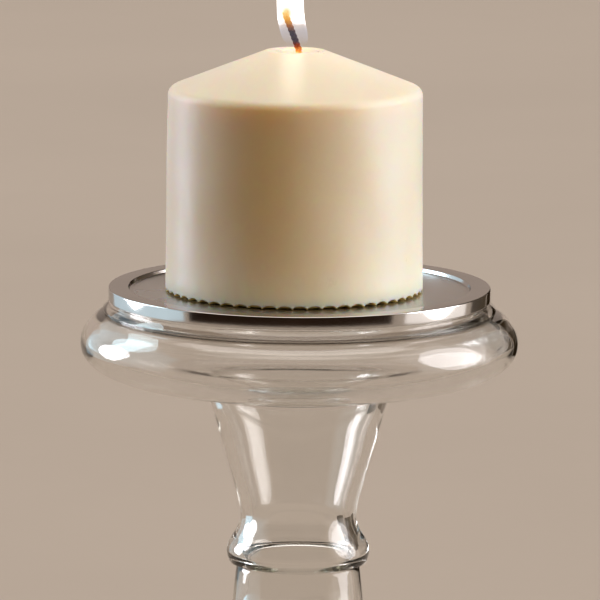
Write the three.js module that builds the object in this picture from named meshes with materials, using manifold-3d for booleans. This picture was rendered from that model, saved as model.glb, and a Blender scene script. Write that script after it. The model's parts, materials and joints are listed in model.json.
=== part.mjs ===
// Pillar candle holder: a clear glass stand in three bonded blown parts, a polished metal drip plate
// that caps the glass lip on a cushion ring, and a loose ivory pillar candle with its wick.
// Millimetres, +Z up. The origin is on the table under the centre of the foot.

import * as THREE from 'three';
import { mergeVertices } from 'three/addons/utils/BufferGeometryUtils.js';
import Module from 'manifold-3d';

// ---------- driving dimensions ----------

const RIM_TOP = 300;              // top of the metal rim above the table
const GAP = 0.3;                  // clearance left between touching pieces

const RIM_R = 59.75;              // drip plate, outer radius
const SHEET = 0.8;                // drip plate, sheet thickness
const SKIRT_DROP = 4.0;           // drip plate, height of the outer band
const PAN_R = 53.8;               // recess radius at the rim
const PAN_DEPTH = 1.2;            // recess depth

const LIP_OUTER_R = 58.3;         // ground mouth of the glass, inside the skirt
const LIP_INNER_R = 55.1;
const LIP_TOP = RIM_TOP - 2.0;
const CUSHION_THICKNESS = 0.6;    // clear ring between the lip and the rim

const COLLAR_TOP_R = 59.2;        // glass collar right under the metal band
const COLLAR_R = 61.6;            // glass collar at the groove
const COLLAR_BOTTOM = RIM_TOP - 7.5;
const GROOVE_DEPTH = 1.2;         // narrow groove between the collar and the disc
const BULGE_R = 68.5;             // widest radius of the rounded disc
const BULGE_Z = RIM_TOP - 17.7;
const NECK_TOP_R = 28.6;          // neck where it leaves the disc
const NECK_TOP = RIM_TOP - 33;
const WAIST_R = 18.2;             // narrowest radius of the neck
const WAIST_Z = RIM_TOP - 73.5;
const KNOP_R = 22.4;              // ring knop under the waist
const KNOP_Z = RIM_TOP - 83.5;
const HEAD_BOTTOM = RIM_TOP - 88;
const JOINT_R = 19.3;             // outer radius of the bonded faces

const BELLY_R = 24.5;             // baluster column
const BELLY_Z = 150;
const COLUMN_BOTTOM = 84;
const ANKLE_R = 15.8;
const WALL = 3.6;                 // glass wall of neck and column

const FOOT_R = 73;
const FOOT_EDGE = 6;              // height of the foot's rounded edge
const FOOT_KNOP_R = 21.5;
const PAD_R = 5;                  // clear bumpers under the foot
const PAD_HEIGHT = 1.7;
const PAD_CIRCLE_R = 61;
const PAD_COUNT = 4;

const CANDLE_R = 40.2;            // wax pillar
const CANDLE_TOP_R = 39.7;
const CANDLE_X = -1.7;            // the candle stands a little off the plate's centre
const CANDLE_BASE = RIM_TOP - PAN_DEPTH + GAP;
const SHOULDER_Z = RIM_TOP + 58;
const SHOULDER_RADIUS = 3;
const TIP_R = 8.85;               // small flat top of the cone
const TIP_Z = RIM_TOP + 74.5;
const NOTCH_COUNT = 54;           // arched notches moulded around the base edge
const NOTCH_WIDTH = 3.6;
const NOTCH_HEIGHT = 1.0;
const NOTCH_DEPTH = 2.4;

const WICK_R = 1.05;
const WICK_X = CANDLE_X + 1.0;    // the wick stands a little off the candle's centre
const WICK_BORE_R = 1.45;
const WICK_TIP = new THREE.Vector3(-5.2, 0.4, RIM_TOP + 86.3);
const TAB_R = 8;                  // metal foot of the wick
const TAB_NECK_R = 1.95;
const TAB_NECK_HEIGHT = 6;

const GLASS_SEGMENTS = 36;
const PLATE_SEGMENTS = 48;
const CANDLE_SEGMENTS = 48;

// ---------- materials ----------

const glass = new THREE.MeshStandardMaterial({ color: 0xdfe6e6, roughness: 0.03, metalness: 0 });
glass.transparent = true;
glass.opacity = 0.35;
const polishedMetal = new THREE.MeshStandardMaterial({ color: 0xc9c7c4, roughness: 0.08, metalness: 1 });
const clearRubber = new THREE.MeshStandardMaterial({ color: 0xe9ebe8, roughness: 0.4, metalness: 0 });
const wax = new THREE.MeshStandardMaterial({ color: 0xf0e4cf, roughness: 0.45, metalness: 0 });
const charredCotton = new THREE.MeshStandardMaterial({ color: 0x2a211c, roughness: 0.95, metalness: 0 });
const tinPlate = new THREE.MeshStandardMaterial({ color: 0xb4b2ac, roughness: 0.35, metalness: 1 });

// ---------- outline helpers (points are radius, height) ----------

const at = (r, z) => new THREE.Vector2(r, z);

function curveThrough(points, steps) {
  return new THREE.SplineCurve(points).getPoints(steps);
}

function arc(r, z, radius, fromDeg, toDeg, steps = 4) {
  const from = THREE.MathUtils.degToRad(fromDeg);
  const to = THREE.MathUtils.degToRad(toDeg);
  return new THREE.ArcCurve(r, z, radius, from, to, toDeg < fromDeg).getPoints(steps);
}

// A full turn of a closed outline about Z. LatheGeometry turns about Y, so it is stood upright.
function turned(outline, segments) {
  const geometry = new THREE.LatheGeometry(outline, segments);
  geometry.rotateX(Math.PI / 2);
  return geometry;
}

function closed(outline) {
  return [...outline, outline[0].clone()];
}

// ---------- solid joins and cuts ----------

const wasm = await Module();
wasm.setup();

function toSolid(geometry) {
  const bare = geometry.clone();
  bare.deleteAttribute('normal');
  bare.deleteAttribute('uv');
  const merged = mergeVertices(bare, 1e-4);
  return new wasm.Manifold(new wasm.Mesh({
    numProp: 3,
    vertProperties: new Float32Array(merged.attributes.position.array),
    triVerts: new Uint32Array(merged.index.array),
  }));
}

function toGeometry(solid) {
  const mesh = solid.getMesh();
  const geometry = new THREE.BufferGeometry();
  geometry.setAttribute('position', new THREE.BufferAttribute(mesh.vertProperties, 3));
  geometry.setIndex(new THREE.BufferAttribute(mesh.triVerts, 1));
  geometry.computeVertexNormals();
  return geometry;
}

// ---------- glass ----------

// Open-mouthed head: lip, flared collar, hollow rounded disc, tapering neck and ring knop.
function glassHead() {
  const disc = curveThrough([
    at(COLLAR_R + 0.6, COLLAR_BOTTOM - 1.2),
    at(BULGE_R - 4, BULGE_Z + 7.9),
    at(BULGE_R - 0.8, BULGE_Z + 4),
    at(BULGE_R, BULGE_Z),
    at(BULGE_R - 1.1, BULGE_Z - 4),
    at(BULGE_R - 4.3, BULGE_Z - 7.2),
    at(BULGE_R - 10.5, BULGE_Z - 9.9),
    at(50, RIM_TOP - 29.3),
    at(40, RIM_TOP - 30.5),
    at(33, RIM_TOP - 31.3),
    at(NECK_TOP_R, NECK_TOP),
  ], 15);
  const neck = curveThrough([
    at(NECK_TOP_R - 0.8, NECK_TOP - 3),
    at(25.3, RIM_TOP - 45),
    at(22.7, RIM_TOP - 54),
    at(20.0, RIM_TOP - 63.5),
    at(WAIST_R, WAIST_Z),
  ], 5);
  const knop = curveThrough([
    at(WAIST_R + 0.9, WAIST_Z - 3),
    at(KNOP_R - 1.0, KNOP_Z + 3.4),
    at(KNOP_R, KNOP_Z),
    at(KNOP_R - 0.6, HEAD_BOTTOM + 1.1),
  ], 5);
  const inside = curveThrough([
    at(JOINT_R - WALL, HEAD_BOTTOM),
    at(JOINT_R - WALL + 2.6, KNOP_Z),
    at(WAIST_R - WALL, WAIST_Z),
    at(20.0 - WALL, RIM_TOP - 63.5),
    at(22.7 - WALL, RIM_TOP - 54),
    at(25.3 - WALL, RIM_TOP - 45),
    at(NECK_TOP_R - WALL - 0.6, NECK_TOP - 1),
    at(NECK_TOP_R + 1, RIM_TOP - 28.6),
    at(40, RIM_TOP - 27.4),
    at(50, RIM_TOP - 26.2),
    at(BULGE_R - 8, BULGE_Z - 5.8),
    at(BULGE_R - 3.2, BULGE_Z),
    at(BULGE_R - 7, BULGE_Z + 6.2),
    at(LIP_INNER_R + 0.8, COLLAR_BOTTOM - 0.6),
    at(LIP_INNER_R, COLLAR_BOTTOM + 3.5),
  ], 19);
  return turned(closed([
    at(LIP_INNER_R + 0.5, LIP_TOP),
    at(LIP_OUTER_R - 0.5, LIP_TOP),
    at(LIP_OUTER_R, LIP_TOP - 0.5),
    at(LIP_OUTER_R, RIM_TOP - SKIRT_DROP - GAP),
    at(COLLAR_TOP_R, RIM_TOP - SKIRT_DROP - 0.7),
    at(COLLAR_R, COLLAR_BOTTOM),
    at(COLLAR_R - GROOVE_DEPTH, COLLAR_BOTTOM - 0.6),
    ...disc,
    ...neck,
    ...knop,
    at(JOINT_R, HEAD_BOTTOM + 0.6),
    at(JOINT_R, HEAD_BOTTOM),
    ...inside,
    at(LIP_INNER_R, LIP_TOP - 0.5),
  ].reverse()), GLASS_SEGMENTS);
}

// Hollow baluster column, bonded to the head above and to the foot below.
function glassColumn() {
  const top = HEAD_BOTTOM - GAP;
  const outside = [
    at(JOINT_R, top),
    at(20.2, top - 10),
    at(22.4, top - 31),
    at(BELLY_R, BELLY_Z),
    at(22.6, 125),
    at(18.6, 104),
    at(ANKLE_R, COLUMN_BOTTOM),
  ];
  const inside = outside.map((p) => at(p.x - WALL, p.y)).reverse();
  return turned(closed([
    ...curveThrough(outside, 9),
    ...curveThrough(inside, 9),
  ].reverse()), GLASS_SEGMENTS);
}

// Round foot: a small knop, a swept shoulder and a heavy disc, hollow only down its centre.
function glassFoot() {
  const top = COLUMN_BOTTOM - GAP;
  const base = PAD_HEIGHT + GAP;
  const outside = curveThrough([
    at(FOOT_KNOP_R - 2.2, top - 1.4),
    at(FOOT_KNOP_R, top - 6),
    at(FOOT_KNOP_R - 2.6, top - 12),
    at(18.4, top - 19),
    at(20.5, top - 32),
    at(28, top - 47),
    at(42, top - 60),
    at(58, top - 68),
    at(FOOT_R - 3.5, base + FOOT_EDGE + 1.6),
  ], 16);
  const edge = arc(FOOT_R - FOOT_EDGE / 2, base + FOOT_EDGE / 2 + 0.6, FOOT_EDGE / 2, 60, -80);
  const hollow = curveThrough([
    at(5.5, top - 52.5),
    at(9.5, top - 48),
    at(12.6, top - 34),
    at(13.2, top - 18),
    at(13.8, top - 7),
    at(ANKLE_R - WALL, top),
  ], 6);
  return turned([
    at(0, top - 53.5),
    ...hollow,
    at(ANKLE_R, top),
    ...outside,
    ...edge,
    at(FOOT_R - 4.4, base),
    at(54, base),
    at(50, base + 1.6),
    at(24, base + 3),
    at(0, base + 3.4),
  ].reverse(), GLASS_SEGMENTS);
}

function footPad() {
  return turned([
    at(0, 0),
    at(PAD_R - 0.9, 0),
    at(PAD_R - 0.3, 0.5),
    at(PAD_R, PAD_HEIGHT),
    at(0, PAD_HEIGHT),
  ], 20);
}

// ---------- drip plate ----------

// One pressed sheet: flat pan, step, flat rim and outer skirt.
function dripPlate() {
  const panTop = RIM_TOP - PAN_DEPTH;
  const skirtBottom = RIM_TOP - SKIRT_DROP;
  const bend = 0.7;
  return turned([
    at(0, panTop),
    at(PAN_R - 1.1, panTop),
    at(PAN_R - 0.5, panTop + 0.3),
    at(PAN_R - 0.1, RIM_TOP - 0.3),
    at(PAN_R + 0.4, RIM_TOP),
    ...arc(RIM_R - bend, RIM_TOP - bend, bend, 90, 0, 3),
    at(RIM_R, skirtBottom),
    at(RIM_R - SHEET, skirtBottom),
    at(RIM_R - SHEET, RIM_TOP - SHEET),
    at(PAN_R + 0.9, RIM_TOP - SHEET),
    at(PAN_R + 0.3, panTop - 0.3),
    at(PAN_R - 0.5, panTop - SHEET),
    at(0, panTop - SHEET),
  ].reverse(), PLATE_SEGMENTS);
}

function cushionRing() {
  const bottom = LIP_TOP + GAP;
  return turned(closed([
    at(LIP_INNER_R + 0.3, bottom),
    at(LIP_OUTER_R - 0.1, bottom),
    at(LIP_OUTER_R - 0.1, bottom + CUSHION_THICKNESS),
    at(LIP_INNER_R + 0.3, bottom + CUSHION_THICKNESS),
  ]), PLATE_SEGMENTS);
}

// ---------- candle, in its own frame: Z = 0 at its base, on its own axis ----------

const candleHeight = TIP_Z - CANDLE_BASE;
const wickOffset = WICK_X - CANDLE_X;

function waxPillar() {
  const shoulder = SHOULDER_Z - CANDLE_BASE;
  const pillar = toSolid(turned([
    at(0, 0),
    at(CANDLE_R - 0.4, 0),
    at(CANDLE_R, 0.4),
    at(CANDLE_TOP_R, shoulder),
    ...arc(CANDLE_TOP_R - SHOULDER_RADIUS, shoulder, SHOULDER_RADIUS, 22, 66, 3),
    at(TIP_R + 0.6, candleHeight - 0.3),
    at(TIP_R - 0.6, candleHeight),
    at(TIP_R - 2.6, candleHeight - 0.9),
    at(0, candleHeight - 1.1),
  ], CANDLE_SEGMENTS));
  const wickChannel = turned([
    at(0, -1),
    at(TAB_R + 0.5, -1),
    at(TAB_R + 0.5, 1),
    at(TAB_NECK_R + 0.5, 1),
    at(TAB_NECK_R + 0.5, TAB_NECK_HEIGHT + 1),
    at(WICK_BORE_R, TAB_NECK_HEIGHT + 1),
    at(WICK_BORE_R, candleHeight + 2),
    at(0, candleHeight + 2),
  ], 12);
  wickChannel.translate(wickOffset, 0, 0);
  let solid = pillar.subtract(toSolid(wickChannel));
  for (let i = 0; i < NOTCH_COUNT; i += 1) {
    const notch = new THREE.CylinderGeometry(1, 1, 2 * NOTCH_DEPTH, 8);
    notch.rotateZ(Math.PI / 2);
    notch.scale(1, NOTCH_WIDTH / 2, NOTCH_HEIGHT);
    notch.translate(CANDLE_R, 0, 0);
    notch.rotateZ((2 * Math.PI * (i + 0.5)) / NOTCH_COUNT);
    solid = solid.subtract(toSolid(notch));
  }
  return toGeometry(solid);
}

// Disc and crimped neck that hold the lower end of the wick.
function wickTab() {
  return turned(closed([
    at(WICK_BORE_R, 0.25),
    at(TAB_R, 0.25),
    at(TAB_R, 0.65),
    at(TAB_NECK_R + 0.3, 0.65),
    at(TAB_NECK_R, 1.2),
    at(TAB_NECK_R - 0.1, TAB_NECK_HEIGHT),
    at(WICK_BORE_R, TAB_NECK_HEIGHT),
  ]), 24);
}

// Straight through the wax, then leaning over towards its burnt tip.
function wickStem() {
  const tip = WICK_TIP.clone().sub(new THREE.Vector3(WICK_X, 0, CANDLE_BASE));
  const path = new THREE.CurvePath();
  const exit = new THREE.Vector3(0, 0, candleHeight);
  path.add(new THREE.LineCurve3(new THREE.Vector3(0, 0, 0.4), exit));
  const bend = new THREE.Vector3(-2.1, 0, candleHeight + 5.5);
  path.add(new THREE.QuadraticBezierCurve3(exit, bend, tip));
  const section = new THREE.Shape();
  section.absarc(0, 0, WICK_R, 0, 2 * Math.PI);
  return new THREE.ExtrudeGeometry(section, {
    steps: 24,
    curveSegments: 5,
    bevelEnabled: false,
    extrudePath: path,
  });
}

// ---------- assembly ----------

const holder = new THREE.Group();

function place(parent, name, geometry, material) {
  const mesh = new THREE.Mesh(geometry, material);
  mesh.name = name;
  parent.add(mesh);
  return mesh;
}

place(holder, 'glass_head', glassHead(), glass);
place(holder, 'glass_column', glassColumn(), glass);
place(holder, 'glass_foot', glassFoot(), glass);
for (let i = 0; i < PAD_COUNT; i += 1) {
  const angle = (2 * Math.PI * i) / PAD_COUNT + Math.PI / 4;
  const pad = place(holder, `foot_pad_${i + 1}`, footPad(), clearRubber);
  pad.position.set(PAD_CIRCLE_R * Math.cos(angle), PAD_CIRCLE_R * Math.sin(angle), 0);
}

place(holder, 'drip_plate', dripPlate(), polishedMetal);
place(holder, 'seat_cushion', cushionRing(), clearRubber);

const candle = new THREE.Group();
candle.position.set(CANDLE_X, 0, CANDLE_BASE);
holder.add(candle);
place(candle, 'wax_pillar', waxPillar(), wax);
place(candle, 'wick_tab', wickTab(), tinPlate).position.x = wickOffset;
place(candle, 'wick', wickStem(), charredCotton).position.x = wickOffset;

export default holder;
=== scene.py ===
import json
import math

import bpy
import numpy as np
from mathutils import Matrix, Vector, noise

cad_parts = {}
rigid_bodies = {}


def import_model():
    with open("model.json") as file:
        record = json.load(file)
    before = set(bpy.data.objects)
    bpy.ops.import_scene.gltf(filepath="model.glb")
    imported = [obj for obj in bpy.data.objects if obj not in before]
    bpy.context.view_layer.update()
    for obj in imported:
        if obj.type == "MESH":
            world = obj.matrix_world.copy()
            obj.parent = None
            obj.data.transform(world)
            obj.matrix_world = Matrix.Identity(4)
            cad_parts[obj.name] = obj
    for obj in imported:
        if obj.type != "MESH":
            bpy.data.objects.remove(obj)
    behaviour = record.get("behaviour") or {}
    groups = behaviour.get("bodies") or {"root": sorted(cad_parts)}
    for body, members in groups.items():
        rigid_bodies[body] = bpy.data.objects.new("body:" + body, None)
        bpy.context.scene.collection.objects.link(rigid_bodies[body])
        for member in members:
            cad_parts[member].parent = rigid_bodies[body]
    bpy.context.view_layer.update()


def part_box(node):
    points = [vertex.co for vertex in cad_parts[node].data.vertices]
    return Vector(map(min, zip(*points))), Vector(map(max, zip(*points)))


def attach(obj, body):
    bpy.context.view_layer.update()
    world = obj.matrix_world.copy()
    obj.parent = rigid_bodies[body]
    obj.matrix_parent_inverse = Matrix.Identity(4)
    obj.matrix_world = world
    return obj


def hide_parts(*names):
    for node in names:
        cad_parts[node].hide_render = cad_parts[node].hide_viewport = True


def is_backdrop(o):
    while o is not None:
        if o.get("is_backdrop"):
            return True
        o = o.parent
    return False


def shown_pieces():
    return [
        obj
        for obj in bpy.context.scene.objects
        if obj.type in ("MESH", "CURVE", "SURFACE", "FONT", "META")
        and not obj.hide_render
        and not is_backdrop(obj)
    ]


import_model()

# Pillar candle holder: blown clear glass in three bonded parts, a polished metal drip plate and a lit candle.
# The outlines below are lists of (radius, height) in millimetres, heights counted from a level of the frame.

MM = 0.001
GAP = 0.3                    # the frame leaves this many millimetres between pieces that rest on each other

# ---------- levels and places, read from the frame ----------

plate_low, plate_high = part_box("drip_plate")
head_low, head_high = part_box("glass_head")
column_low, column_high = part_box("glass_column")
foot_low, foot_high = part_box("glass_foot")
wax_low, wax_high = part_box("wax_pillar")
wick_low, wick_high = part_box("wick")
tab_low, tab_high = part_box("wick_tab")
cushion_low, cushion_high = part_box("seat_cushion")

RIM_TOP = plate_high.z
RIM_R = plate_high.x / MM
BULGE_R = head_high.x / MM
CANDLE_X = (wax_low.x + wax_high.x) / 2
CANDLE_R = (wax_high.x - wax_low.x) / 2 / MM
CANDLE_HEIGHT = (wax_high.z - wax_low.z) / MM
WICK_X = (tab_low.x + tab_high.x) / 2

# ---------- outlines ----------


def flow(points, steps_per_mm=1.2):
    """A smooth curve through (r, z) points: a natural cubic spline along the chord length."""
    p = np.array(points, float)
    t = np.concatenate([[0], np.cumsum(np.linalg.norm(np.diff(p, axis=0), axis=1))])
    n = len(p)
    h = np.diff(t)
    a = np.eye(n)
    b = np.zeros_like(p)
    for i in range(1, n - 1):
        a[i, i - 1 : i + 2] = h[i - 1], 2 * (h[i - 1] + h[i]), h[i]
        b[i] = 6 * ((p[i + 1] - p[i]) / h[i] - (p[i] - p[i - 1]) / h[i - 1])
    m = np.linalg.solve(a, b)
    count = max(4, int(t[-1] * steps_per_mm))
    out = []
    for s in np.linspace(0, t[-1], count + 1):
        i = min(np.searchsorted(t, s, side="right") - 1, n - 2)
        u, v = t[i + 1] - s, s - t[i]
        q = (m[i] * u**3 + m[i + 1] * v**3) / (6 * h[i])
        q = q + (p[i] / h[i] - m[i] * h[i] / 6) * u + (p[i + 1] / h[i] - m[i + 1] * h[i] / 6) * v
        out.append((float(q[0]), float(q[1])))
    return out


def rounded(corners, turn=12):
    """An outline through (r, z, fillet) corners, each inner corner rounded by its own fillet radius."""
    out = [corners[0][:2]]
    for before, here, after in zip(corners, corners[1:], corners[2:]):
        c = Vector(here[:2])
        a = (Vector(before[:2]) - c).normalized()
        b = (Vector(after[:2]) - c).normalized()
        half = a.angle(b) / 2
        if here[2] <= 0 or half > math.radians(89):
            out.append(here[:2])
            continue
        reach = here[2] / math.tan(half)
        centre = c + (a + b).normalized() * here[2] / math.sin(half)
        start = c + a * reach - centre
        sweep = math.pi - 2 * half
        sign = 1 if a.x * b.y - a.y * b.x < 0 else -1
        steps = max(2, math.ceil(math.degrees(sweep) / turn))
        for i in range(steps + 1):
            angle = sign * sweep * i / steps
            x = start.x * math.cos(angle) - start.y * math.sin(angle)
            y = start.x * math.sin(angle) + start.y * math.cos(angle)
            out.append((centre.x + x, centre.y + y))
    out.append(corners[-1][:2])
    return out


# ---------- meshes ----------


def new_object(name, vertices, faces, crease=None):
    mesh = bpy.data.meshes.new(name)
    mesh.from_pydata(vertices, [], faces)
    mesh.update()
    for polygon in mesh.polygons:
        polygon.use_smooth = True
    if crease is not None:
        mesh.set_sharp_from_angle(angle=math.radians(crease))
    piece = bpy.data.objects.new(name, mesh)
    bpy.context.scene.collection.objects.link(piece)
    return piece


def skin(rings):
    """Faces between neighbouring rings of vertices. A ring of one vertex closes to a point."""
    faces = []
    for lower, upper in zip(rings, rings[1:]):
        count = max(len(lower), len(upper))
        for i in range(count):
            j = (i + 1) % count
            if len(lower) == 1:
                faces.append((lower[0], upper[j], upper[i]))
            elif len(upper) == 1:
                faces.append((lower[i], lower[j], upper[0]))
            else:
                faces.append((lower[i], lower[j], upper[j], upper[i]))
    return faces


def turned(name, outline, level, segments, centre=0.0, loop=False, shape=None, crease=40):
    """Turns an outline about the upright line at x = centre. A loop closes on itself; any other outline
    starts and ends on the axis. The outline runs so that the solid is on its left. shape(r, z, angle) may
    move a point."""
    vertices, rings = [], []
    for r, z in outline:
        if r < 1e-6:
            rings.append([len(vertices)])
            vertices.append((centre, 0, level + z * MM))
            continue
        ring = []
        for i in range(segments):
            angle = 2 * math.pi * i / segments
            rr, zz = shape(r, z, angle) if shape else (r, z)
            ring.append(len(vertices))
            x = centre + rr * MM * math.cos(angle)
            vertices.append((x, rr * MM * math.sin(angle), level + zz * MM))
        rings.append(ring)
    if loop:
        rings.append(rings[0])
    return new_object(name, vertices, skin(rings), crease)


def divided(outline, longest):
    """The outline with its longer stretches cut into equal shorter ones."""
    out = []
    for a, b in zip(outline, outline[1:]):
        steps = max(1, int(math.dist(a, b) / longest))
        out += [(a[0] + (b[0] - a[0]) * i / steps, a[1] + (b[1] - a[1]) * i / steps) for i in range(steps)]
    return out + [outline[-1]]


def ripple(amount, size, seed, stretch=1.0):
    """Slow unevenness of a surface made by hand: moves a point in and out by up to amount millimetres."""

    def shape(r, z, angle):
        place = Vector((r * math.cos(angle), r * math.sin(angle), z * stretch)) / size
        return r + amount * noise.noise(place + Vector((seed, seed * 1.7, seed * 0.3))), z

    return shape


def calm(distance, reach):
    """0 at a joint, rising to 1 at the reach: ripples die out towards the joint by this share."""
    return min(1.0, abs(distance) / reach)


def rippled(wave, share, r, z, angle):
    """The radius, moved by a share of a ripple."""
    return r + (wave(r, z, angle)[0] - r) * share


# ---------- node materials ----------


class Nodes:
    """Short names for building a node material."""

    def __init__(self, name):
        self.material = bpy.data.materials.new(name)
        self.material.use_nodes = True
        self.tree = self.material.node_tree
        self.shader = self.tree.nodes["Principled BSDF"]
        self.output = self.tree.nodes["Material Output"]

    def add(self, kind, **values):
        node = self.tree.nodes.new(kind)
        for key, value in values.items():
            if key in node.inputs:
                node.inputs[key].default_value = value
            else:
                setattr(node, key, value)
        return node

    def link(self, source, target):
        self.tree.links.new(source, target)

    def set(self, **values):
        for key, value in values.items():
            self.shader.inputs[key.replace("_", " ")].default_value = value

    def place(self, scale=(1, 1, 1)):
        """Object coordinates, in metres, scaled."""
        where = self.add("ShaderNodeTexCoord")
        mapping = self.add("ShaderNodeMapping", Scale=scale)
        self.link(where.outputs["Object"], mapping.inputs["Vector"])
        return mapping.outputs["Vector"]

    def xyz(self):
        """The three object coordinates, in metres."""
        where = self.add("ShaderNodeTexCoord")
        split = self.add("ShaderNodeSeparateXYZ")
        self.link(where.outputs["Object"], split.inputs["Vector"])
        return split.outputs["X"], split.outputs["Y"], split.outputs["Z"]

    def noise(self, scale, detail=3.0, roughness=0.5, stretch=(1, 1, 1)):
        made = self.add("ShaderNodeTexNoise", Scale=scale, Detail=detail, Roughness=roughness)
        self.link(self.place(stretch), made.inputs["Vector"])
        return made.outputs["Fac"]

    def ramp(self, source, stops, interpolation="LINEAR"):
        """Stops are (position, colour), or (position, number) for a grey."""
        made = self.add("ShaderNodeValToRGB")
        made.color_ramp.interpolation = interpolation
        elements = made.color_ramp.elements
        while len(elements) < len(stops):
            elements.new(0.5)
        for element, (position, colour) in zip(elements, stops):
            element.position = position
            element.color = (colour,) * 3 + (1.0,) if isinstance(colour, float) else (*colour, 1.0)
        self.link(source, made.inputs["Fac"])
        return made.outputs["Color"]

    def range(self, source, low, high, from_low=0.0, from_high=1.0):
        made = self.add("ShaderNodeMapRange")
        made.inputs["From Min"].default_value = from_low
        made.inputs["From Max"].default_value = from_high
        made.inputs["To Min"].default_value = low
        made.inputs["To Max"].default_value = high
        self.link(source, made.inputs["Value"])
        return made.outputs["Result"]

    def maths(self, operation, a, b=0):
        made = self.add("ShaderNodeMath", operation=operation)
        for socket, value in zip(made.inputs, (a, b)):
            if isinstance(value, (int, float)):
                socket.default_value = value
            else:
                self.link(value, socket)
        return made.outputs["Value"]

    def squares(self, x, y):
        """x squared plus y squared."""
        return self.maths("ADD", self.maths("MULTIPLY", x, x), self.maths("MULTIPLY", y, y))

    def bump(self, height, distance, strength=1.0, after=None):
        made = self.add("ShaderNodeBump", Strength=strength, Distance=distance)
        self.link(height, made.inputs["Height"])
        if after is not None:
            self.link(after, made.inputs["Normal"])
        return made.outputs["Normal"]


GLASS_TINT = (0.972, 0.970, 0.962, 1)
# painted shade: the colour of the dark line in the groove under the collar
GROOVE_SHADE = (0.30, 0.26, 0.22, 1)
GROOVE_DROP = 8.1            # from the rim to the bottom of the groove under the collar
GROOVE_SHADE_HALF = 0.25          # half the height of the painted dark line in the groove, before it fades
GROOVE_SHADE_FADE = 0.6           # where it has faded out


def clear_glass():
    """Blown glass: seeds that dull single spots, a slow unevenness and a faint warm tint."""
    n = Nodes("clear_glass")
    n.set(IOR=1.5, Transmission_Weight=1.0)
    seeds = n.noise(900, detail=1.0)
    n.link(n.range(seeds, 0.0, 0.02, 0.62, 0.8), n.shader.inputs["Roughness"])
    slow = n.noise(38, detail=2.0, roughness=0.4)
    n.link(n.bump(slow, 0.0003, 0.10), n.shader.inputs["Normal"])
    # a dark line painted into the groove under the collar stands for the shade the groove holds
    z = n.xyz()[2]
    away = n.maths("ABSOLUTE", n.maths("SUBTRACT", z, RIM_TOP - GROOVE_DROP * MM))
    groove_shade_mix = n.add("ShaderNodeMix", data_type="RGBA", A=GROOVE_SHADE, B=GLASS_TINT)
    n.link(n.range(away, 0.0, 1.0, GROOVE_SHADE_HALF * MM, GROOVE_SHADE_FADE * MM), groove_shade_mix.inputs["Factor"])
    n.link(groove_shade_mix.outputs["Result"], n.shader.inputs["Base Color"])
    tint = n.add("ShaderNodeVolumeAbsorption", Color=(0.42, 0.42, 0.30, 1), Density=10.0)
    n.link(tint.outputs["Volume"], n.output.inputs["Volume"])
    return n.material


SATIN = 0.16                 # how much rougher the pan is than the polished rim


def polished_metal():
    """Polished sheet with fine turning marks and a satin pan."""
    n = Nodes("polished_metal")
    n.set(Metallic=1.0, Specular_Tint=(0.77, 0.77, 0.78, 1))
    cloud = n.noise(60, detail=4.0)
    tint = n.ramp(cloud, [(0.3, (0.60, 0.585, 0.57)), (0.7, (0.68, 0.665, 0.65))])
    n.link(tint, n.shader.inputs["Base Color"])
    smear = n.noise(25, detail=5.0, roughness=0.65)
    # the pan is satin, worn by candles; the rim and the band are polished
    x, y, _ = n.xyz()
    out = n.maths("SQRT", n.squares(x, y))
    satin = n.range(out, SATIN, 0.0, (PAN_R - 2) * MM, PAN_R * MM)
    n.link(n.maths("ADD", n.range(smear, 0.08, 0.13, 0.3, 0.75), satin), n.shader.inputs["Roughness"])
    # fine turning marks run round the plate
    rings = n.add("ShaderNodeTexWave", wave_type="RINGS", rings_direction="Z", Scale=900.0, Distortion=1.5)
    rings.inputs["Detail"].default_value = 2.0
    rings.inputs["Detail Scale"].default_value = 2.0
    n.link(n.place(), rings.inputs["Vector"])
    n.link(n.bump(rings.outputs["Fac"], 0.00002, 0.25), n.shader.inputs["Normal"])
    return n.material


def clear_rubber():
    """Milky soft plastic with a fine grain."""
    n = Nodes("clear_rubber")
    n.set(Roughness=0.38, IOR=1.43, Transmission_Weight=0.75)
    grain = n.noise(700, detail=2.0)
    n.link(n.bump(grain, 0.00006, 0.5), n.shader.inputs["Normal"])
    tone = n.ramp(n.noise(150), [(0.3, (0.80, 0.83, 0.80)), (0.7, (0.90, 0.92, 0.90))])
    n.link(tone, n.shader.inputs["Base Color"])
    return n.material


# painted shade: the colour of the sole and the notches' insides, where the candle meets the pan
NOTCH_SHADE = (0.80, 0.62, 0.22, 1)
UNSHADED_SKIN, SHADED_SKIN = 0.25, 0.65          # depths in the wall: unshaded to the first, painted shade from the second
SHADED_SOLE, UNSHADED_SOLE = 0.15, 0.45          # heights above the base: painted shade, then unshaded, in the same way
SHADE_TOP, UNSHADED_TOP = 1.2, 1.4               # heights above the base between which the painted shade ends


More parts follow.
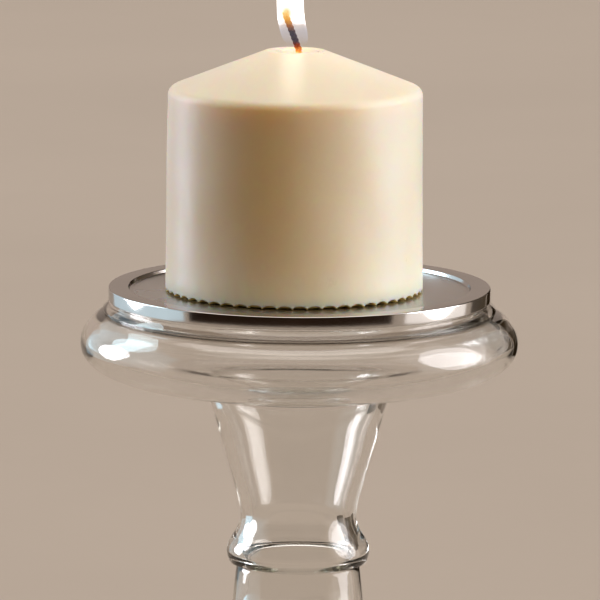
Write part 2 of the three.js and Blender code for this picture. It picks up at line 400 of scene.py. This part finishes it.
def ivory_wax():
    """Ivory wax, translucent. The sole and the insides of the notches are painted darker and without
    translucency, as shade where the candle meets the pan.
    """
    n = Nodes("ivory_wax")
    n.set(Subsurface_Radius=(1.0, 0.56, 0.26), Subsurface_Scale=0.007)
    n.set(IOR=1.44, Specular_IOR_Level=0.5)
    cloud = n.noise(22, detail=5.0, roughness=0.6)
    tone = n.ramp(cloud, [(0.25, (0.87, 0.79, 0.61)), (0.55, (0.90, 0.82, 0.65)), (0.8, (0.93, 0.86, 0.71))])
    x, y, z = n.xyz()
    out = n.maths("SQRT", n.squares(n.maths("SUBTRACT", x, CANDLE_X), y))
    base = wax_low.z
    wall = n.range(out, 0.0, 1.0, (CANDLE_R - SHADED_SKIN) * MM, (CANDLE_R - UNSHADED_SKIN) * MM)
    sole = n.range(z, 0.0, 1.0, base + SHADED_SOLE * MM, base + UNSHADED_SOLE * MM)
    above = n.range(z, 0.0, 1.0, base + SHADE_TOP * MM, base + UNSHADED_TOP * MM)
    # painted shade: wax inside the notches and on the sole is darker and loses its translucency; the wax
    # above the notches is left as it is
    unshaded = n.maths("MAXIMUM", n.maths("MINIMUM", wall, sole), above)
    mix = n.add("ShaderNodeMix", data_type="RGBA", A=NOTCH_SHADE)
    n.link(unshaded, mix.inputs["Factor"])
    n.link(tone, mix.inputs["B"])
    n.link(mix.outputs["Result"], n.shader.inputs["Base Color"])
    n.link(unshaded, n.shader.inputs["Subsurface Weight"])
    bloom = n.noise(70, detail=6.0, roughness=0.7, stretch=(1, 1, 0.5))
    n.link(n.range(bloom, 0.26, 0.5, 0.3, 0.75), n.shader.inputs["Roughness"])
    dimples = n.noise(240, detail=3.0, roughness=0.5)
    swell = n.noise(45, detail=2.0)
    first = n.bump(swell, 0.0012, 0.22)
    n.link(n.bump(dimples, 0.0002, 0.3, after=first), n.shader.inputs["Normal"])
    return n.material


def tin():
    """Dull tinned sheet, clouded."""
    n = Nodes("tin")
    n.set(Metallic=1.0)
    cloud = n.noise(300, detail=4.0)
    tone = n.ramp(cloud, [(0.3, (0.42, 0.41, 0.39)), (0.7, (0.62, 0.61, 0.58))])
    n.link(tone, n.shader.inputs["Base Color"])
    n.link(n.range(cloud, 0.25, 0.5), n.shader.inputs["Roughness"])
    return n.material


def burning_wick():
    """Waxed cotton low down, charred above the wax, with embers at its root and its tip."""
    n = Nodes("burning_wick")
    z = n.xyz()[2]
    root = wax_high.z - DISH_DEPTH * MM
    height = n.range(z, 0.0, 1.0, root, wick_high.z)
    fray = n.noise(1400, detail=4.0, roughness=0.7)
    level = n.maths("ADD", height, n.range(fray, -0.10, 0.10))
    char = [(0.0, (0.75, 0.62, 0.42)), (0.05, (0.20, 0.07, 0.03)), (0.14, (0.030, 0.015, 0.010)),
            (0.80, (0.022, 0.012, 0.008)), (1.0, (0.09, 0.04, 0.02))]
    n.link(n.ramp(level, char), n.shader.inputs["Base Color"])
    glow = [(0.0, (0.9, 0.40, 0.07)), (0.07, (0.85, 0.26, 0.04)), (0.17, (0.30, 0.035, 0.005)),
            (0.28, (0.02, 0.005, 0.003)), (0.52, (0.02, 0.007, 0.004)), (0.66, (0.30, 0.09, 0.015)),
            (0.80, (0.80, 0.36, 0.06)), (1.0, (1.0, 0.72, 0.26))]
    n.link(n.ramp(level, glow), n.shader.inputs["Emission Color"])
    n.set(Emission_Strength=1.0, Roughness=0.9)
    n.link(n.bump(fray, 0.00015, 0.7), n.shader.inputs["Normal"])
    return n.material


FLAME_BACK = 0.0022          # the flame stands this far behind the wick, which curls out towards its front
FLAME_STRENGTH = 3.2
GLOW_INSET = 0.0016          # the orange glow's middle lies this far in from the wick's tip and below it
GLOW_WIDTH = 0.0026          # its two radii
GLOW_HEIGHT = 0.0040


def burning_gas():
    """Light without substance. A faint bluish foot turns to bright white at the height of the wick's tip.
    On the side that the wick leans out of, the white starts above the tip, and round the tip it is orange."""
    n = Nodes("burning_gas")
    n.tree.nodes.remove(n.shader)
    x, y, z = n.xyz()
    root, tip = wax_high.z, wick_high.z
    height = n.range(z, 0.0, 1.0, root, root + 2 * (tip - root))
    lick = n.noise(260, detail=2.0, stretch=(1, 1, 0.4))
    level = n.maths("ADD", height, n.range(lick, -0.03, 0.03))
    colours = [(0.0, (0.30, 0.42, 0.70)), (0.20, (0.40, 0.52, 0.80)), (0.31, (0.75, 0.70, 0.72)),
               (0.38, (1.0, 0.96, 0.91)), (0.75, (1.0, 0.95, 0.86)), (1.0, (1.0, 0.87, 0.62))]
    # squared distance from the glow's middle, in radii of the glow
    across = n.maths("MULTIPLY", n.maths("SUBTRACT", x, wick_low.x + GLOW_INSET), 1 / GLOW_WIDTH)
    up = n.maths("MULTIPLY", n.maths("SUBTRACT", z, tip - GLOW_INSET), 1 / GLOW_HEIGHT)
    away = n.squares(across, up)
    glow = n.add("ShaderNodeMix", data_type="RGBA", A=(0.30, 0.17, 0.055, 1))
    n.link(n.range(away, 0.0, 1.0, 0.0, 1.0), glow.inputs["Factor"])
    n.link(n.ramp(level, colours, "EASE"), glow.inputs["B"])
    light = n.add("ShaderNodeEmission", Strength=FLAME_STRENGTH)
    n.link(glow.outputs["Result"], light.inputs["Color"])
    back = [(0.05, 0.0), (0.12, 0.03), (0.22, 0.06), (0.29, 0.12), (0.38, 1.0)]
    front = [(0.05, 0.0), (0.12, 0.02), (0.40, 0.03), (0.50, 0.12), (0.62, 1.0)]
    alpha = n.add("ShaderNodeMix", data_type="RGBA")
    n.link(n.range(y, 0.0, 1.0, 0.0, FLAME_BACK), alpha.inputs["Factor"])
    n.link(n.ramp(level, front), alpha.inputs["A"])
    n.link(n.ramp(level, back), alpha.inputs["B"])
    clear = n.add("ShaderNodeBsdfTransparent")
    mix = n.add("ShaderNodeMixShader")
    n.link(alpha.outputs["Result"], mix.inputs["Fac"])
    n.link(clear.outputs[0], mix.inputs[1])
    n.link(light.outputs[0], mix.inputs[2])
    n.link(mix.outputs[0], n.output.inputs["Surface"])
    return n.material


# ---------- glass ----------

HEAD_DROP = (RIM_TOP - head_low.z) / MM      # from the rim to the bonded joint under the knop
LIP_DROP = (RIM_TOP - head_high.z) / MM      # from the rim to the lip of the glass


def make_glass_head(material):
    """Lip, flared collar, groove, hollow rounded disc, tapering neck and ring knop."""
    lip = rounded([
        (55.1, -6, 0), (55.1, -LIP_DROP, 0.6), (58.3, -LIP_DROP, 0.6), (58.3, -4.4, 0.2),
        (59.25, -4.75, 0.25), (61.75, -7.3, 0.45), (60.4, -8.05, 0.22), (62.3, -8.7, 0),
    ])
    disc = flow([
        (62.3, -8.7), (64.6, -9.9), (66.7, -12.4), (68.1, -15.2), (BULGE_R, -17.9), (67.6, -21.4),
        (64.6, -24.6), (58, -27.6), (50, -29.3), (40, -30.5), (33.2, -31.4), (29.4, -33.2),
        (27.6, -37), (25.3, -45), (22.7, -54), (20.0, -63.5), (18.25, -71.5), (18.5, -75.0),
        (20.4, -78.9), (22.0, -81.8), (22.4, -84.2), (21.9, -86.6),
    ])
    foot = rounded([disc[-1] + (0,), (21.4, -87.5, 0.4), (19.3, -87.5, 0.3), (19.3, -HEAD_DROP, 0),
                    (15.7, -HEAD_DROP, 0)])
    inside = flow([
        (15.7, -HEAD_DROP), (18.3, -84.4), (17.3, -80.5), (15.3, -76.2), (14.7, -71.5), (16.4, -63.5),
        (19.1, -54), (21.7, -45), (24.1, -37), (25.6, -32.2), (29.6, -28.9), (40, -27.4), (50, -26.2),
        (60.2, -23.4), (63.9, -20.6), (65.3, -17.7), (64.2, -14.2), (61.2, -11.2), (57.6, -9.2),
        (55.5, -7.4), (55.1, -6),
    ])
    outline = lip[1:] + disc[1:-1] + foot + inside[1:]
    outline.reverse()
    outer = ripple(0.07, 17, 3.1, 1.4)
    inner = ripple(0.10, 21, 8.6, 1.2)
    inner_radius = {round(z, 2): r for r, z in inside}

    def shape(r, z, angle):
        wave = inner if abs(inner_radius.get(round(z, 2), 0) - r) < 1e-6 else outer
        return rippled(wave, calm(z + HEAD_DROP, 4) * calm(z + LIP_DROP, 5), r, z, angle), z

    head = turned("clear_head", outline, RIM_TOP, 192, loop=True, shape=shape)
    head.data.materials.append(material)
    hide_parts("glass_head")
    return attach(head, "holder")


def make_glass_column(material):
    """Baluster column, hollow from end to end."""
    top = (column_high.z - RIM_TOP) / MM + 0.2
    bottom = (column_low.z - RIM_TOP) / MM
    outside = flow([
        (19.3, top - 0.5), (19.75, top - 4), (20.35, top - 10), (22.4, top - 31), (24.35, top - 58),
        (24.0, -166), (21.9, -182), (18.4, -198), (16.1, -210), (15.8, bottom + 0.4),
    ], 0.8)
    inside = flow([
        (15.7, top), (16.1, top - 10), (18.4, top - 31), (20.5, top - 58), (20.2, -166), (18.3, -182),
        (15.0, -198), (12.6, -210), (12.2, bottom),
    ], 0.8)
    outline = [(18.9, top)] + outside + [(15.4, bottom)] + inside[::-1]
    outer, inner = ripple(0.14, 15, 5.2, 0.8), ripple(0.4, 19, 1.4, 0.7)

    def shape(r, z, angle):
        wave = outer if r > 15.5 and (r > 18.8 or z < -190) else inner
        return rippled(wave, calm(z - top, 6) * calm(z - bottom, 6), r, z, angle), z

    outline.reverse()
    column = turned("clear_column", outline, RIM_TOP, 144, loop=True, shape=shape)
    column.data.materials.append(material)
    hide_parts("glass_column")
    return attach(column, "holder")


def make_glass_foot(material):
    """Small knop, swept shoulder and heavy disc; hollow only down its stem."""
    top = foot_high.z / MM
    base = foot_low.z / MM
    outside = flow([
        (19.4, top - 1.1), (20.9, top - 3.2), (21.5, top - 6), (20.6, top - 9.4), (18.9, top - 13),
        (18.3, top - 19), (19.0, top - 27), (21.6, top - 36), (28, top - 47.5), (41, top - 59.5),
        (57, top - 67.8), (67, top - 71.9), (70.9, top - 74.2), (72.9, top - 77.2), (72.3, top - 80.2),
        (69.4, base + 0.25),
    ], 0.9)
    hollow = flow([
        (0.001, top - 53.5), (3.2, top - 53.1), (6.6, top - 51.6), (9.6, top - 47.6), (12.2, top - 36),
        (13.1, top - 20), (13.7, top - 7), (12.4, top - 0.5),
    ], 0.8)
    underside = rounded([(69.4, base + 0.25, 0), (68.6, base, 0.6), (54, base, 0.8), (50, base + 1.6, 2.5),
                         (24, base + 3, 6), (0, base + 3.4, 0)])
    outline = [(0, top - 53.5)] + hollow[1:] + [(12.6, top), (15.7, top), (19.0, top - 0.9)] + outside
    outline = outline + underside[1:]
    outline.reverse()
    outer = ripple(0.15, 24, 4.4, 1.0)

    def shape(r, z, angle):
        return rippled(outer, calm(z - base, 6) * calm(z - top, 6) * calm(r, 8), r, z, angle), z

    foot = turned("clear_foot", outline, 0.0, 168, shape=shape)
    foot.data.materials.append(material)
    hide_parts("glass_foot")
    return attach(foot, "holder")


def make_foot_pads(material):
    """Four round bumpers under the foot, wider at the top."""
    for i in range(1, 5):
        low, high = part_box(f"foot_pad_{i}")
        centre = (low + high) / 2
        height = (high.z - low.z) / MM
        outline = rounded([
            (0, 0, 0), (3.9, 0, 0.9), (5.0, height - 0.2, 0.15), (5.0, height, 0.1), (0, height, 0),
        ])
        pad = turned(f"bumper_{i}", outline, low.z, 40)
        pad.data.transform(Matrix.Translation((centre.x, centre.y, 0)))
        pad.data.materials.append(material)
        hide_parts(f"foot_pad_{i}")
        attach(pad, "holder")


# ---------- plate ----------

SHEET = 0.8
PAN_R = 53.8
PAN_DEPTH = (RIM_TOP - wax_low.z) / MM + GAP


def make_plate(material):
    """One pressed sheet: pan, step, flat rim, outer band with a rolled lower edge."""
    skirt = (plate_low.z - RIM_TOP) / MM
    section = rounded([
        (0, -PAN_DEPTH, 0), (PAN_R - 0.7, -PAN_DEPTH, 0.4), (PAN_R - 0.2, 0, 0.4), (RIM_R, 0, 0.5),
        (RIM_R, skirt + 0.1, 0.2), (RIM_R - 0.15, skirt, 0.1), (RIM_R - SHEET, skirt, 0.2),
        (RIM_R - SHEET, -SHEET, 0.2), (PAN_R + 0.45, -SHEET, 0.9), (PAN_R - 0.1, -PAN_DEPTH - SHEET, 0.9),
        (0, -PAN_DEPTH - SHEET, 0),
    ])
    outline = divided(section, 4)
    outline.reverse()
    plate = turned("polished_plate", outline, RIM_TOP, 224, shape=ripple(0.02, 30, 2.2), crease=50)
    plate.data.materials.append(material)
    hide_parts("drip_plate")
    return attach(plate, "plate")


def make_cushion(material):
    """Flat ring between the glass lip and the metal rim."""
    inner = 55.4
    outer = cushion_high.x / MM
    height = (cushion_high.z - cushion_low.z) / MM
    outline = rounded([
        (inner + 1, 0, 0), (outer, 0, 0.25), (outer, height, 0.25), (inner, height, 0.25), (inner, 0, 0.25),
        (inner + 1, 0, 0),
    ])
    ring = turned("clear_cushion", outline[:-1], cushion_low.z, 128, loop=True)
    ring.data.materials.append(material)
    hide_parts("seat_cushion")
    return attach(ring, "plate")


# ---------- candle ----------

NOTCHES = 54
NOTCH_STEPS = 12             # vertices across one notch and the foot beside it
NOTCH_TURN = math.radians(2.45)
NOTCH_HEIGHT = 1.0
NOTCH_DEPTH = 2.2
NOTCH_SHARE = 0.88           # of the way round that the notches take; the feet between them take the rest
NOTCH_EDGE = 0.12            # height over which a notch reaches its full depth
NOTCH_ROWS = 13              # rows of vertices that draw the arches
ROW_HEIGHT = 0.115
SWELL_FROM = 20              # further in than this the candle is even
CANDLE_DRAFT = 0.5           # the wall's top is narrower by this, in radius
SHOULDER_DROP = 14.9         # from the top of the candle to the end of its wall
CONE_R = 8.85                # the small top, inside the cone
DISH_DEPTH = 1.2             # how far the wick's glowing root lies below the top
BORE_R = 1.45                # hole for the wick
BORE_DEPTH = 9


def make_candle(material):
    """Moulded pillar: notched base edge, slight draft, soft shoulder, cone and a melted dish at the wick."""
    h = CANDLE_HEIGHT
    top_r = CANDLE_R - CANDLE_DRAFT
    shoulder, foot = h - SHOULDER_DROP, 2.5
    wall = [(CANDLE_R - 0.25, 0), (CANDLE_R - 0.06, 0.06), (CANDLE_R, 0.2)]
    wall += [(CANDLE_R, 0.2 + ROW_HEIGHT * i) for i in range(1, NOTCH_ROWS + 1)]
    for t in np.linspace(0.03, 1, 40):
        wall.append((CANDLE_R + (top_r - CANDLE_R) * t, foot + (shoulder - foot) * t))
    crown = rounded([
        (top_r, shoulder, 0), (top_r - 0.05, h - 12.3, 3.0), (CONE_R + 0.3, h - 0.25, 3.0),
        (CONE_R - 2.6, h - 0.35, 1.2), (CONE_R - 4.6, h - 1.25, 1.5), (2.2, h - 1.45, 0.5),
    ], 5)
    offset = (WICK_X - CANDLE_X) / MM
    base = [(0, 0.02), (10, 0), (25, 0), (36, 0)]
    outline = divided(base + wall + crown[1:], 1.6)
    outline += [(BORE_R, h - 1.6), (BORE_R, h - BORE_DEPTH), (0, h - BORE_DEPTH)]
    swell = ripple(0.22, 16, 6.3, 0.8)

    def shape(r, z, angle):
        if r > SWELL_FROM:
            r = rippled(swell, calm(z, 6), r, z, angle)
        if z < NOTCH_HEIGHT and r > CANDLE_R - 2:
            turn = (angle - NOTCH_TURN) * NOTCHES / (2 * math.pi)
            across = abs(turn % 1.0 - 0.5) * 2
            arch = NOTCH_HEIGHT * math.sqrt(max(0.0, 1 - (across / NOTCH_SHARE) ** 2))
            r = r - NOTCH_DEPTH * min(1.0, max(0.0, (arch - z) / NOTCH_EDGE))
        if r < CONE_R and z > h - 12:
            # the dish and the bore stand round the wick, a little off the candle's axis
            share = 1 - r / CONE_R
            x = r * math.cos(angle) + offset * min(1.0, share * 1.3)
            y = r * math.sin(angle)
            return math.hypot(x, y), z, math.atan2(y, x)
        return r, z

    candle = turned_off_axis("ivory_candle", outline, wax_low.z, NOTCHES * NOTCH_STEPS, CANDLE_X, shape)
    candle.data.materials.append(material)
    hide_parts("wax_pillar")
    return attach(candle, "candle")


def turned_off_axis(name, outline, level, segments, centre, shape):
    """As turned(), for a shape that may also move a point round the axis and off it."""
    vertices, rings = [], []
    for r, z in outline:
        ring = []
        count = 1 if r < 1e-6 else segments
        for i in range(count):
            angle = 2 * math.pi * i / segments
            moved = shape(r, z, angle)
            rr, zz = moved[:2]
            aa = moved[2] if len(moved) == 3 else angle
            ring.append(len(vertices))
            vertices.append((centre + rr * MM * math.cos(aa), rr * MM * math.sin(aa), level + zz * MM))
        rings.append(ring)
    return new_object(name, vertices, skin(rings), 60)


def wick_line():
    """Centreline of the wick from its tab to its tip, in metres."""
    root = Vector((WICK_X, 0, wick_low.z))
    exit_point = Vector((WICK_X, 0, wax_high.z))
    tip = Vector((wick_low.x + 0.0009, 0.0004, wick_high.z - 0.0003))
    bend = Vector((WICK_X - 0.0021, 0, wax_high.z + 0.0055))
    line = [root.lerp(exit_point, t) for t in np.linspace(0, 1, 90).tolist()]
    for t in np.linspace(0, 1, 40).tolist()[1:]:
        line.append((1 - t) ** 2 * exit_point + 2 * t * (1 - t) * bend + t**2 * tip)
    return line


def tube(path, radius, sides, taper):
    """Vertices and faces of a round tube along a path, with flat ends. taper(share) scales the radius."""
    vertices, faces = [], []
    across = Vector((1, 0, 0))
    for k, point in enumerate(path):
        ahead = (path[min(k + 1, len(path) - 1)] - path[max(k - 1, 0)]).normalized()
        across = (across - ahead * across.dot(ahead)).normalized()
        up = ahead.cross(across)
        r = radius * taper(k / (len(path) - 1))
        for i in range(sides):
            angle = 2 * math.pi * i / sides
            vertices.append(point + (across * math.cos(angle) + up * math.sin(angle)) * r)
    for k in range(len(path) - 1):
        for i in range(sides):
            j = (i + 1) % sides
            a, b = k * sides, (k + 1) * sides
            faces.append((a + i, a + j, b + j, b + i))
    faces.append(tuple(range(sides))[::-1])
    last = (len(path) - 1) * sides
    faces.append(tuple(last + i for i in range(sides)))
    return vertices, faces


BRAID_PITCH = 0.0042         # length of one turn of the braid
BRAID_WIDTH = 0.00056        # how far a strand swings to each side
BRAID_DEPTH = 0.00032        # and to the front and back
STRAND_R = 0.00050
STRANDS = 3


def make_wick(material):
    """Three-strand flat braid along the wick's line."""
    line = wick_line()
    lengths = np.concatenate([[0], np.cumsum([(b - a).length for a, b in zip(line, line[1:])])])
    vertices, faces = [], []

    def thin(share):
        return 1.0 if share < 0.985 else 0.35 + 0.65 * (1 - share) / 0.015

    for strand in range(STRANDS):
        path = []
        for s in np.arange(0, lengths[-1], 0.00022):
            k = min(np.searchsorted(lengths, s, side="right") - 1, len(line) - 2)
            u = (s - lengths[k]) / (lengths[k + 1] - lengths[k])
            point = line[k].lerp(line[k + 1], float(u))
            ahead = (line[k + 1] - line[k]).normalized()
            side = Vector((0, 1, 0)).cross(ahead).normalized()
            front = ahead.cross(side)
            phase = 2 * math.pi * (s / BRAID_PITCH + strand / STRANDS)
            swing = side * BRAID_WIDTH * math.sin(phase)
            path.append(point + swing + front * BRAID_DEPTH * math.sin(2 * phase))
        made, shown = tube(path, STRAND_R, 9, thin)
        faces += [tuple(i + len(vertices) for i in f) for f in shown]
        vertices += made
    wick = new_object("braided_wick", vertices, faces)
    wick.data.materials.append(material)
    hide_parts("wick")
    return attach(wick, "candle")


TAB_R = 8.0
TAB_SHEET = 0.4
CRIMP = 0.12                 # depth of the four pinches in the tab's neck


def make_wick_tab(material):
    """Small metal disc with a neck that is crimped on the wick."""
    height = (tab_high.z - tab_low.z) / MM
    outline = rounded([
        (BORE_R, height - 1, 0), (BORE_R, 0, 0.1), (TAB_R, 0, 0.15), (TAB_R, TAB_SHEET, 0.15),
        (2.3, TAB_SHEET, 0.4), (1.95, height, 0.15), (BORE_R, height, 0.15), (BORE_R, height - 1, 0),
    ])

    def crimp(r, z, angle):
        if not 1.6 < r < 2.4:
            return r, z
        up = min(1.0, max(0.0, (z - 2) / (height - 2)))
        return r - CRIMP * math.sin(math.pi * up) * (math.cos(4 * angle) + 1) / 2, z

    tab = turned("wick_sustainer", outline[:-1], tab_low.z, 48, WICK_X, loop=True, shape=crimp)
    tab.data.materials.append(material)
    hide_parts("wick_tab")
    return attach(tab, "candle")


def make_flame(material):
    """Closed shell of light round the wick: a clear bluish foot, widest just above the tip of the wick."""
    root, tip = wax_high.z, wick_high.z
    # height above the wax, centre to the right of the wick's root, half width; millimetres
    rows = [
        (0.3, -0.5, 0.0), (1.2, -0.6, 2.6), (2.4, -0.9, 3.6), (5.2, -1.55, 4.2), (9.3, -2.4, 4.2),
        (12.5, -2.65, 4.15), (16, -2.75, 4.1), (21, -2.7, 3.6), (26, -2.5, 2.5), (30, -2.2, 1.1),
        (32.4, -2.1, 0.0),
    ]
    heights = [row[0] for row in rows]
    centres = np.array(flow([(row[1], row[0]) for row in rows], 2.0))
    widths = np.array(flow([(row[2], row[0]) for row in rows], 2.0))
    segments, vertices, faces = 56, [], []
    steps = np.linspace(heights[0], heights[-1], 60).tolist()
    for k, h in enumerate(steps):
        x = WICK_X + float(np.interp(h, centres[:, 1], centres[:, 0])) * MM
        half = max(0.0, float(np.interp(h, widths[:, 1], widths[:, 0]))) * MM
        if k in (0, len(steps) - 1):
            vertices.append(Vector((x, FLAME_BACK, root + h * MM)))
            continue
        for i in range(segments):
            angle = 2 * math.pi * i / segments
            y = FLAME_BACK + 0.9 * half * math.sin(angle)
            vertices.append(Vector((x + half * math.cos(angle), y, root + h * MM)))
    last, rings = len(vertices) - 1, len(steps) - 2
    for i in range(segments):
        j = (i + 1) % segments
        faces.append((0, 1 + j, 1 + i))
        faces.append((last, last - segments + i, last - segments + j))
        for k in range(rings - 1):
            a, b = 1 + k * segments, 1 + (k + 1) * segments
            faces.append((a + i, a + j, b + j, b + i))
    flame = new_object("flame", vertices, faces)
    flame.data.materials.append(material)
    flame.visible_shadow = False
    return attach(flame, "candle")


# ---------- assembly ----------

glass = clear_glass()
rubber = clear_rubber()
make_glass_head(glass)
make_glass_column(glass)
make_glass_foot(glass)
make_foot_pads(rubber)
make_plate(polished_metal())
make_cushion(rubber)
make_candle(ivory_wax())
make_wick_tab(tin())
make_wick(burning_wick())
make_flame(burning_gas())

# ---------- stage: floor, lights, camera ----------

FLOOR_HALF = 40.0
TAUPE = (0.470, 0.376, 0.313)
DARK_SIDE = (0.165, 0.094, 0.024)
DARK_END, TAUPE_START = -0.45, 0.1           # along the room, from -1 in front to 1 behind


def floor_material():
    """Matt pale floor, very slightly clouded."""
    n = Nodes("pale_floor")
    cloud = n.noise(1.6, detail=6.0, roughness=0.55)
    tone = n.ramp(cloud, [(0.35, (0.635, 0.590, 0.540)), (0.65, (0.665, 0.618, 0.566))])
    n.link(tone, n.shader.inputs["Base Color"])
    n.set(Roughness=0.85, Specular_IOR_Level=0.2)
    n.link(n.bump(n.noise(120, detail=4.0), 0.0006, 0.25), n.shader.inputs["Normal"])
    return n.material


def make_floor():
    """The floor gives no bounced light to the object: the room's light below the horizon stands for it."""
    a = FLOOR_HALF
    vertices = [(-a, -a, 0), (a, -a, 0), (a, a, 0), (-a, a, 0)]
    floor = new_object("floor", vertices, [(0, 1, 2, 3)])
    floor.data.materials.append(floor_material())
    floor.visible_diffuse = False
    floor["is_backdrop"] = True


def hide_from_light(piece):
    """A piece of the studio that only mirrored and refracted views meet."""
    piece.visible_camera = False
    piece.visible_shadow = False
    piece.visible_diffuse = False
    piece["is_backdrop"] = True


FLAG_R = 1.25                # the flags' distance from the stem
FLAG_LOW, FLAG_HIGH = 0.03, 2.4


def make_flag(name, first, last, tone, low=FLAG_LOW):
    """A plain upright screen on an arc between two azimuths, met only by mirrored and refracted views."""
    n = Nodes(name)
    depth = n.noise(2.5, detail=3.0)
    shades = [(0.3, [0.85 * c for c in tone]), (0.7, [1.15 * c for c in tone])]
    n.link(n.ramp(depth, shades), n.shader.inputs["Base Color"])
    n.set(Roughness=1.0, Specular_IOR_Level=0.0)
    vertices, faces = [], []
    angles = np.radians(np.linspace(first, last, 49)).tolist()
    for a in angles:
        x, y = FLAG_R * math.sin(a), -FLAG_R * math.cos(a)
        vertices += [(x, y, low), (x, y, FLAG_HIGH)]
    for i in range(len(angles) - 1):
        faces.append((2 * i, 2 * i + 2, 2 * i + 3, 2 * i + 1))
    flag = new_object(name, vertices, faces)
    flag.data.materials.append(n.material)
    hide_from_light(flag)


def make_room():
    """Even taupe light all round, with an unlit side in front of the object."""
    world = bpy.data.worlds.new("room")
    world.use_nodes = True
    nodes, links = world.node_tree.nodes, world.node_tree.links
    where = nodes.new("ShaderNodeTexCoord")
    split = nodes.new("ShaderNodeSeparateXYZ")
    depth = nodes.new("ShaderNodeMapRange")
    tone = nodes.new("ShaderNodeMix")
    depth.inputs["From Min"].default_value = DARK_END
    depth.inputs["From Max"].default_value = TAUPE_START
    tone.data_type = "RGBA"
    tone.inputs["A"].default_value = (*DARK_SIDE, 1)
    tone.inputs["B"].default_value = (*TAUPE, 1)
    links.new(where.outputs["Generated"], split.inputs["Vector"])
    links.new(split.outputs["Y"], depth.inputs["Value"])
    links.new(depth.outputs["Result"], tone.inputs["Factor"])
    links.new(tone.outputs["Result"], nodes["Background"].inputs["Color"])
    bpy.context.scene.world = world


def window(name, azimuth, distance, spread, low, high, colour, radiance, lit, shape="RECTANGLE"):
    """An upright soft light that spreads over an angle as seen from the stem, and lights only the lit
    pieces. Azimuth 0 is the viewer's side, 90 the viewer's right."""
    light = bpy.data.lights.new(name, "AREA")
    light.shape = shape
    light.size, light.size_y = 2 * distance * math.tan(math.radians(spread / 2)), high - low
    light.color, light.energy = colour, radiance * math.pi * light.size * light.size_y
    lamp = bpy.data.objects.new(name, light)
    bpy.context.scene.collection.objects.link(lamp)
    a = math.radians(azimuth)
    lamp.location = (distance * math.sin(a), -distance * math.cos(a), (low + high) / 2)
    lamp.rotation_euler = Vector((-math.sin(a), math.cos(a), 0)).to_track_quat("-Z", "Y").to_euler()
    lamp.visible_camera = False
    lamp.light_linking.receiver_collection = lit


def overhead(name, energy, spread, tilt, colour, lit):
    """Soft light from above, tilted about the left-right axis."""
    light = bpy.data.lights.new(name, "SUN")
    light.energy, light.angle, light.color = energy, math.radians(spread), colour
    lamp = bpy.data.objects.new(name, light)
    lamp.rotation_euler = (math.radians(tilt), 0, 0)
    lamp.light_linking.receiver_collection = lit
    bpy.context.scene.collection.objects.link(lamp)


def make_lights():
    """Soft lights on the left, on the right and above. The glass and metal have their own, which show as
    broad reflections with a bright core, apart from those that shade the wax."""
    shiny = bpy.data.collections.new("glass_and_metal")
    soft = bpy.data.collections.new("wax_and_wick")
    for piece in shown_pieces():
        (soft if piece.name in ("ivory_candle", "braided_wick") else shiny).objects.link(piece)
    window("left_window", -110, 1.12, 76, 0.0, 1.20, (0.42, 0.78, 1.0), 0.70, shiny)
    window("left_core", -115, 1.10, 25, 0.12, 0.68, (0.95, 0.94, 1.0), 8.5, shiny, "ELLIPSE")
    window("left_sky", -115, 1.11, 24, 0.60, 1.35, (0.64, 0.88, 1.0), 4.0, shiny, "ELLIPSE")
    window("right_window", 91, 1.20, 52, 0.0, 1.85, (1.0, 0.97, 0.96), 0.8, shiny)
    window("right_core", 91, 1.19, 40, 0.06, 1.45, (1.0, 0.98, 1.0), 4.2, shiny, "ELLIPSE")
    window("left_daylight", -114, 1.50, 28, 0.05, 1.60, (0.70, 0.79, 1.0), 5.2, soft)
    window("right_daylight", 70, 1.50, 34, 0.05, 1.80, (1.0, 0.76, 0.53), 3.1, soft)
    window("right_sky", 92, 1.50, 34, 0.05, 1.80, (0.44, 0.69, 1.0), 4.6, soft)
    high = bpy.data.collections.new("glass_metal_and_floor")
    for piece in list(shiny.objects) + [bpy.data.objects["floor"]]:
        high.objects.link(piece)
    overhead("overhead", 1.2, 60, -12, (1.0, 0.97, 0.94), high)
    overhead("overhead_wax", 1.0, 40, 0, (1.0, 0.93, 0.84), soft)


CAMERA_DISTANCE = 2.11       # from the middle of the rim
CAMERA_RISE = 9.17           # degrees above the horizon, seen from the rim
CAMERA_ROLL = 0.34           # degrees
AIM_RIGHT = 0.00016          # the view's middle lies this far right of the rim's middle
AIM_DOWN = 0.00438           # and this far below it
SENSOR, LENS = 36.0, 405.0   # millimetres


def make_camera():
    """Long lens, slightly above the rim, with a slight roll."""
    data = bpy.data.cameras.new("camera")
    data.sensor_width = SENSOR
    data.lens = LENS
    data.clip_start, data.clip_end = 0.05, 200.0
    camera = bpy.data.objects.new("camera", data)
    bpy.context.scene.collection.objects.link(camera)
    rise = math.radians(CAMERA_RISE)
    rim = Vector((0, 0, RIM_TOP))
    back = Vector((0, -math.cos(rise), math.sin(rise)))
    up = Vector((0, math.sin(rise), math.cos(rise)))
    camera.location = rim + back * CAMERA_DISTANCE
    target = rim + Vector((1, 0, 0)) * AIM_RIGHT - up * AIM_DOWN
    look = (target - camera.location).to_track_quat("-Z", "Y").to_matrix().to_4x4()
    turn = Matrix.Rotation(math.radians(CAMERA_ROLL), 4, "Z")
    camera.matrix_world = Matrix.Translation(camera.location) @ look @ turn
    bpy.context.scene.camera = camera


make_floor()
make_flag("front_flag", -68, 56, (0.048, 0.029, 0.019))
make_flag("side_flag", 124, 150, (0.45, 0.50, 0.62))
make_flag("back_flag", 152, 166, (0.13, 0.12, 0.11), 0.0)
make_room()
make_lights()
make_camera()

scene = bpy.context.scene
scene.view_settings.view_transform = "Standard"
scene.cycles.max_bounces = 24
scene.cycles.transmission_bounces = 20
scene.cycles.glossy_bounces = 12
scene.cycles.transparent_max_bounces = 16
